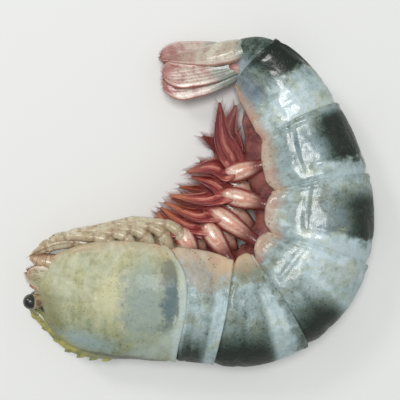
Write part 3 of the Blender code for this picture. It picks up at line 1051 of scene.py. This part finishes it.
legMaterial = legFinish("walkingLeg", (212, 204, 176), (186, 166, 134), (140, 106, 82))
paleHair = hairFinish("paleHair", (206, 180, 150), (168, 120, 96))
for side in sideNames:
    for number in range(5):
        walkingLeg(number, side)
    jawLeg(side)
print("walking legs made")

# tail fan: a pointed plate and two leaf-shaped blades on each side of it
fan = {
    # the plate starts in the tail root: distance before the body's end, share of the way to the back
    "plateRoot": ((0.0030, 0.22), (0.0006, 0.30)),
    "plateRidge": ((0.20, 0.0012), (0.44, 0.0004), (0.72, 0.0), (1.0, 0.0)),  # share of its length, height
    # widths and thicknesses: the size, and its shares along the piece
    "plateWidth": (0.0052, (0.40, 0.62, 0.80, 0.86, 0.68, 0.40, 0.05)),
    "plateThick": (0.0036, (0.55, 0.72, 0.76, 0.60, 0.42, 0.28, 0.10)),
    # splay and droop in degrees, reach, width and drop
    "blades": (("Inner", 6.0, 10.0, 0.97, 0.0062, 0.0005), ("Outer", 12.0, 16.0, 0.99, 0.0066, 0.0013)),
    "farSplay": 0.45,  # the far blades are splayed less
    "reach": 0.985,  # its length, as a share of the solid's
    "rootBefore": 0.0014,  # its root lies this far before the body's end
    "root": 0.0009,  # and a blade starts this far outwards from it
    "bladeWidths": (0.36, 0.58, 0.76, 0.90, 0.98, 1.0, 1.0, 0.98, 0.96),
    "bladeThick": (0.0010, (2.2, 1.4, 1.1, 1.0, 0.9, 0.75, 0.4)),
    "rounded": 0.24,  # the share of a blade that its round end takes up
    "lobeWidth": (0.0030, (0.8, 1.0, 1.0, 0.84, 0.24)),
    "lobeThick": (0.0027, (0.8, 1.0, 1.0, 0.84, 0.24)),
}


def tailFinish(name, base, deep, tip, rim):
    finish = Finish(name)
    along, across = finish.mark("along"), finish.mark("across")
    cloud = finish.grain(420, 4, 0.4)
    clouded, spread = cloud - 0.5, across * across
    layers = (
        (deep, cloud.over(0.40, 0.64)),
        (tip, (along + clouded * 0.4).over(0.45, 0.95)),
        ((228, 206, 194), spread.near(0.72, 0.24) * 0.7),
        (rim, spread.over(0.86, 0.98) * 0.8),
        ((140, 150, 138), 1 - (along + clouded * 0.2).over(0.20, 0.38)),
        ((120, 54, 48), finish.grain(2600, 2).over(0.58, 0.68) * 0.55),
    )
    relief = (across * 34).wave() * 0.25 + finish.grain(1600)
    return finish.done(base, layers, 0.22 + cloud * 0.2, relief, 0.00010, 0.6)


def tailFan():
    root = frameAt(bodyEnd - fan["rootBefore"])[0]
    _, tail, back, flank = frameAt(bodyEnd + curl["bendShare"] * curl["tailBlade"])
    long = curl["tailBlade"] * fan["reach"]
    stops = []
    for before, lifted in fan["plateRoot"]:
        centre, _, upwards, aside = frameAt(bodyEnd - before)
        stops.append(centre + upwards * (section(bodyEnd - before)[0] * lifted) + aside * 0.0006)
    stops += [root + tail * (long * share) + back * lifted for share, lifted in fan["plateRidge"]]
    cream = tailFinish("tailPlate", (210, 204, 184), (182, 168, 148), (164, 112, 102), (190, 128, 114))
    shapes = [limb(smoothPath(stops, 44), *girths(fan, "plate"), flank, 32, ridge=-0.10)]
    pieceFrom("tailPlate", shapes, [cream])
    pink = tailFinish("tailBlade", (212, 194, 178), (176, 138, 128), (170, 98, 94), (190, 92, 84))
    hairMaterial = hairFinish("tailHair", (190, 120, 100), (140, 70, 60))
    thickness = tapered(*fan["bladeThick"])
    for side, sideName in sideNames.items():
        for name, splay, droop, reach, wide, drop in fan["blades"]:
            splay, droop = radians(splay * (1.0 if side > 0 else fan["farSplay"])), radians(droop)
            out = flank * (side * cos(droop)) - back * sin(droop)
            start = root + out * fan["root"] - back * drop
            along = tail * cos(splay) + out * sin(splay)
            path = [start + along * (long * reach * step) for step in closing(48)]
            width = roundEnded(wide, fan["bladeWidths"], fan["rounded"], 0.0004)
            shapes = [
                limb(path, width, thickness, out, 32, ridge=0.5, edge=0.8),
                fringe(path, out, 0.0005, width, 44, 0.35, 0.45),
            ]
            if name == "Outer":  # a lobe on the tail root carries the blades of this side
                lobe = [
                    frameAt(bodyEnd - 0.0026)[0] + flank * (side * 0.0014) - back * 0.0006,
                    root + flank * (side * 0.0018) - back * 0.0006,
                    root + tail * 0.0022 + out * 0.0016 - back * 0.0004,
                    root + tail * 0.0042 + out * 0.0020 - back * 0.0006,
                ]
                lobeShape = limb(smoothPath(lobe, 22), *girths(fan, "lobe"), out, 20)
                pieceFrom("tailLobe" + sideName, [lobeShape], [pink])
            pieceFrom(f"tailBlade{name}{sideName}", shapes, [pink, hairMaterial])


tailFan()
print("tail fan made")

# head parts: toothed horn, eyes on stalks, leaf-shaped scales and short feelers
head = {
    # along the body: where the horn starts, where it leaves the head, and its tip
    "hornBack": 0.0150,
    "hornRoot": 0.0016,
    "hornTip": -0.0030,
    "hornSunk": 0.0012,
    "hornSlope": 0.58,
    "hornHeight": 0.0025,
    "hornShape": (0.38, 0.68, 0.80, 0.86, 0.88, 0.85, 0.68, 0.14),
    "hornThick": (0.0016, 0.0017, 0.0014, 0.0013, 0.0012, 0.0010, 0.0008, 0.0005),
    "teeth": 7,
    "tooth": 0.0011,
    "firstTooth": 0.18,
    "lastTooth": 0.88,
    "toothWidth": (0.0019, (1.0, 0.92, 0.60, 0.06)),
    "toothThick": (0.0009, (1.0, 0.90, 0.60, 0.10)),
    "flesh": (-0.0014, 0.0066),  # its ends, along the body
    "eyeRadius": 0.00125,
    "eyeAt": (-0.0018, 0.0026, 0.0027),  # along the body, outwards, and above the middle line
    "stalkWidths": (2.0, 1.9, 1.85, 1.95, 2.04),
    "leafWidth": (0.0046, (0.7, 0.9, 1.0, 0.96, 0.84)),
    "leafThick": (0.0010, (1.3, 1.0, 0.9, 0.8, 0.5)),
    "leafRounded": 0.4,
    # reach, width, how far outwards and above the middle line
    "feelers": (("feeler", 0.0042, 0.0026, 0.0014, -0.0038), ("shortFeeler", 0.0038, 0.0017, 0.0009, 0.0006)),
    "feelerWidths": (1.0, 1.0, 0.94, 0.82, 0.60, 0.26),
    "feelerJoints": (0.42, 0.74),
}


def horn():
    def crest(share, lifted):  # lifted 0 is the crest's lower edge, 1 its upper edge
        at = head["hornBack"] + (head["hornTip"] - head["hornBack"]) * share
        free = max(head["hornRoot"] - at, 0.0)
        lower = section(max(at, head["hornRoot"]))[0] - head["hornSunk"] - head["hornSlope"] * free
        return bodyPoint(at, 0.0, (lower + height(share) * lifted) * curl["shrink"])

    height = tapered(head["hornHeight"], head["hornShape"])
    upwards = frameAt(0.0)[2]
    path = [crest(i / 80, 0.5) for i in range(81)]
    shapes = [limb(path, height, tapered(1.0, head["hornThick"]), upwards, 16)]
    for i in range(head["teeth"]):
        share = head["firstTooth"] + (head["lastTooth"] - head["firstTooth"]) * i / (head["teeth"] - 1)
        lift = head["tooth"] * (0.55 + 0.45 * hump(share, 0.66, 0.4)) / height(share)
        stops = ((share, 0.30), (share + 0.024, 0.84), (share + 0.066, 1.0 + 0.6 * lift))
        path = smoothPath([crest(*stop) for stop in stops], 9)
        shapes.append(limb(path, *girths(head, "tooth"), upwards, 10))
    finish = Finish("horn", coat=0.3)
    layers = (
        ((132, 134, 84), finish.grain(700).over(0.38, 0.62)),
        ((136, 138, 110), 1 - finish.mark("along").over(0.20, 0.50)),
        ((112, 100, 60), finish.grain(2400).over(0.56, 0.66) * 0.6),
    )
    material = finish.done((174, 168, 96), layers, 0.4, finish.grain(1800), 0.0001, 0.5)
    pieceFrom("horn", shapes, [material])


def headFlesh():  # what shows in front of the head shell, between the feelers
    def outline(at, t, s, c):
        top, low, wide, _ = section(at)
        tall = top if c > 0 else low
        lump = 1 + 0.06 * noise.noise(Vector((at * 900, c * 2, s * 2)))
        size = 0.93 * (1 - 0.75 * (1 - limited(t / 0.3)) ** 2) * lump * curl["shrink"]
        return wide * s * size, tall * 0.94 * c * size

    shape = tube(*head["flesh"], 25, 48, outline)
    finish = Finish("headFlesh", coat=0.7, subsurface=0.2)
    cloud = finish.grain(600, 4)
    layers = [((84, 76, 54), cloud.over(0.40, 0.60))]
    pieceFrom("headFlesh", [shape], [finish.done((160, 128, 98), layers, 0.3, cloud, 0.0003, 0.8)])


def eyes():
    bead = Finish("eyeBead", coat=0.5, subsurface=0.0)
    layers = [((50, 56, 32), bead.grain(1300).over(0.42, 0.62))]
    beadMaterial = bead.done((16, 18, 12), layers, 0.3, bead.dots(9000), 0.00003, 0.4)
    stalk = Finish("eyeStalk", coat=0.5)
    layers = [((112, 92, 70), stalk.grain(900).over(0.4, 0.6))]
    stalkMaterial = stalk.done((180, 156, 124), layers, 0.3, stalk.grain(2500), 0.00008, 0.5)
    back = frameAt(0.0)[2]
    ahead, out, high = head["eyeAt"]
    width = tapered(head["eyeRadius"], head["stalkWidths"])
    for side, sideName in sideNames.items():
        path = []
        for i in range(13):
            t = 0.95 * i / 12
            at, aside = ahead * t + 0.0012 * (1 - t), side * out * (0.3 + 0.7 * t)
            path.append(bodyPoint(at, aside, high - 0.0004 * (1 - t)))
        pieceFrom("eyeStalk" + sideName, [limb(path, width, width, back, 16)], [stalkMaterial])
        ball = bmesh.new()
        bmesh.ops.create_uvsphere(ball, u_segments=32, v_segments=20, radius=head["eyeRadius"])
        bmesh.ops.translate(ball, verts=ball.verts, vec=bodyPoint(ahead, side * out, high))
        pieceFrom("eye" + sideName, [ball], [beadMaterial])


def feelers():
    _, _, back, flank = frameAt(0.0)
    leafMaterial = tailFinish("scale", (204, 200, 166), (172, 168, 128), (190, 160, 128), (176, 120, 96))
    feelerMaterial = legFinish("feeler", (208, 186, 154), (178, 140, 112), (134, 84, 66))
    leafWidth = roundEnded(*head["leafWidth"], head["leafRounded"], 0.001)
    for side, sideName in sideNames.items():
        out = (flank * (0.45 * side) - back * 0.89).normalized()
        leaf = [
            bodyPoint(0.0024 - 0.0054 * step, side * (0.0016 + 0.0010 * step), -0.0004 - 0.0016 * step)
            for step in closing(32)
        ]
        shapes = [
            limb(leaf, leafWidth, tapered(*head["leafThick"]), out, 28, ridge=0.4),
            fringe(leaf, out, 0.0005, leafWidth, 40, 0.3, 0.5),
        ]
        pieceFrom("scale" + sideName, shapes, [leafMaterial, paleHair])
        for name, reach, wide, aside, high in head["feelers"]:
            path = [
                bodyPoint(0.0012 - reach * t, side * aside * (1 + 0.3 * t), high - 0.0004 * t * t)
                for t in [i / 40 for i in range(41)]
            ]
            girth = jointed(wide, head["feelerJoints"], head["feelerWidths"])
            pieceFrom(name + sideName, [limb(path, girth, girth, back, 18)], [feelerMaterial])


horn()
headFlesh()
eyes()
feelers()
print("head parts made")

# floor, light and camera
studio = {
    "floor": (240, 240, 238),
    "lens": 85.0,
    "fill": 1.14,
    "sky": (0.93, 0.97, 1.0, 1.0),
    "skyStrength": 0.42,
    # name, place, size, power and colour
    "lamps": (
        ("overhead", (-0.03, 0.07, 0.50), 0.18, 1.15, (1.0, 0.99, 0.97)),
        ("side", (-0.25, 0.22, 0.30), 0.10, 0.30, (1.0, 0.98, 0.95)),
    ),
}


def floor():
    shape = bmesh.new()
    bmesh.ops.create_grid(shape, x_segments=1, y_segments=1, size=4.0)
    surface = placed("floor", meshFrom("floor", shape))
    finish = Finish("floor", coat=0.0, subsurface=0.0)
    finish.set("Base Color", studio["floor"])
    finish.set("Roughness", 0.7)
    surface.data.materials.append(finish.material)


def lamps():
    for name, place, size, power, colour in studio["lamps"]:
        data = bpy.data.lights.new(name, "AREA")
        data.shape, data.size = "DISK", size
        data.energy, data.color = power, colour
        lamp = placed(name, data)
        lamp.location = place
        lamp.rotation_euler = Vector(place).to_track_quat("Z", "Y").to_euler()
    scene.world = scene.world or bpy.data.worlds.new("world")
    scene.world.use_nodes = True
    sky = scene.world.node_tree.nodes["Background"]
    sky.inputs["Color"].default_value = studio["sky"]
    sky.inputs["Strength"].default_value = studio["skyStrength"]
    scene.view_settings.view_transform = "Standard"


def camera():
    middle = (cadLow + cadHigh) / 2
    data = bpy.data.cameras.new("camera")
    data.lens = studio["lens"]
    data.clip_start = 0.01
    side = max(cadHigh.x - cadLow.x, cadHigh.y - cadLow.y) * studio["fill"]
    scene.camera = placed("camera", data)
    away = side * data.lens / data.sensor_width
    scene.camera.location = (middle.x, middle.y, cadHigh.z * 0.5 + away)


floor()
lamps()
camera()
print("light and camera set")
